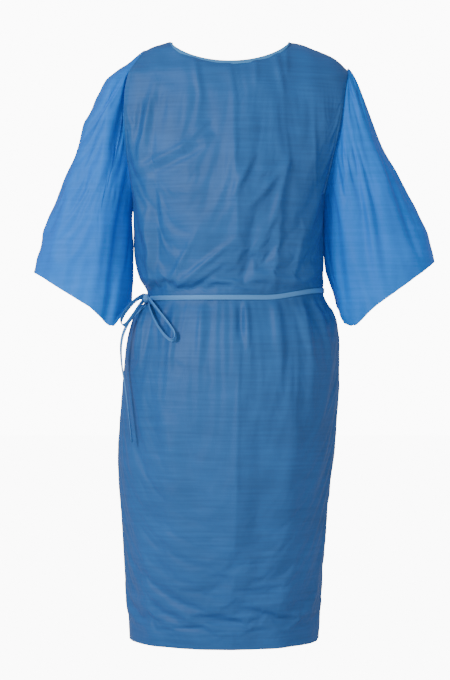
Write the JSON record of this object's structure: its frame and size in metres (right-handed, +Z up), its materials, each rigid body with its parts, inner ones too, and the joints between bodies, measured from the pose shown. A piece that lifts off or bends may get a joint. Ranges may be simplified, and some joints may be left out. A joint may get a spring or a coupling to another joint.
{
  "type": "patient gown",
  "caption": "Short-sleeved disposable patient gown with a scoop neck, wrap back, bound neckline and a waist belt tied in a bow at one side.",
  "frame": {"origin": "middle of the shoulder line at the neck, where the gown rests on its wearer", "axes": "+Z up, the front faces -Y, and the wearer's right side is -X"},
  "size_m": [0.7112, 0.3021, 1.0989],
  "materials": {
    "body_cloth": "thin nonwoven cloth, matte with a faint sheen, slightly see-through",
    "sleeve_cloth": "the same nonwoven cloth, brighter where one layer is lit from behind",
    "binding_tape": "narrow folded nonwoven strip",
    "tie_tape": "narrow flat folded nonwoven tie"
  },
  "bodies": {
    "trunk": {"front_panel": "body_cloth", "back_panel_left": "body_cloth", "back_panel_right": "body_cloth", "neck_binding": "binding_tape", "armhole_seam_right": "body_cloth", "side_seam_right": "body_cloth", "shoulder_seam_right": "body_cloth", "armhole_seam_left": "body_cloth", "side_seam_left": "body_cloth", "shoulder_seam_left": "body_cloth", "waist_belt": "tie_tape", "belt_knot": "tie_tape", "bow_loop_side": "tie_tape"},
    "right_sleeve": {"sleeve_right": "sleeve_cloth", "sleeve_seam_right": "sleeve_cloth"},
    "left_sleeve": {"sleeve_left": "sleeve_cloth", "sleeve_seam_left": "sleeve_cloth"},
    "tail": {"bow_tail": "tie_tape"},
    "front_loop": {"bow_loop_front": "tie_tape"}
  },
  "joints": [
    {"name": "right_sleeve_lift", "type": "hinge", "parent": "trunk", "child": "right_sleeve", "pos_m": [-0.1995, 0, -0.044], "axis": [0, 1, 0], "range_deg": [0, 50]},
    {"name": "left_sleeve_lift", "type": "hinge", "parent": "trunk", "child": "left_sleeve", "pos_m": [0.2155, 0, -0.054], "axis": [0, -1, 0], "range_deg": [0, 50]},
    {"name": "tail_swing", "type": "hinge", "parent": "trunk", "child": "tail", "pos_m": [-0.155, -0.041, -0.482], "axis": [0, 1, 0], "range_deg": [0, 20]},
    {"name": "front_loop_lift", "type": "hinge", "parent": "trunk", "child": "front_loop", "pos_m": [-0.1485, -0.05, -0.474], "axis": [-1, 0, 0], "range_deg": [0, 45]}
  ]
}
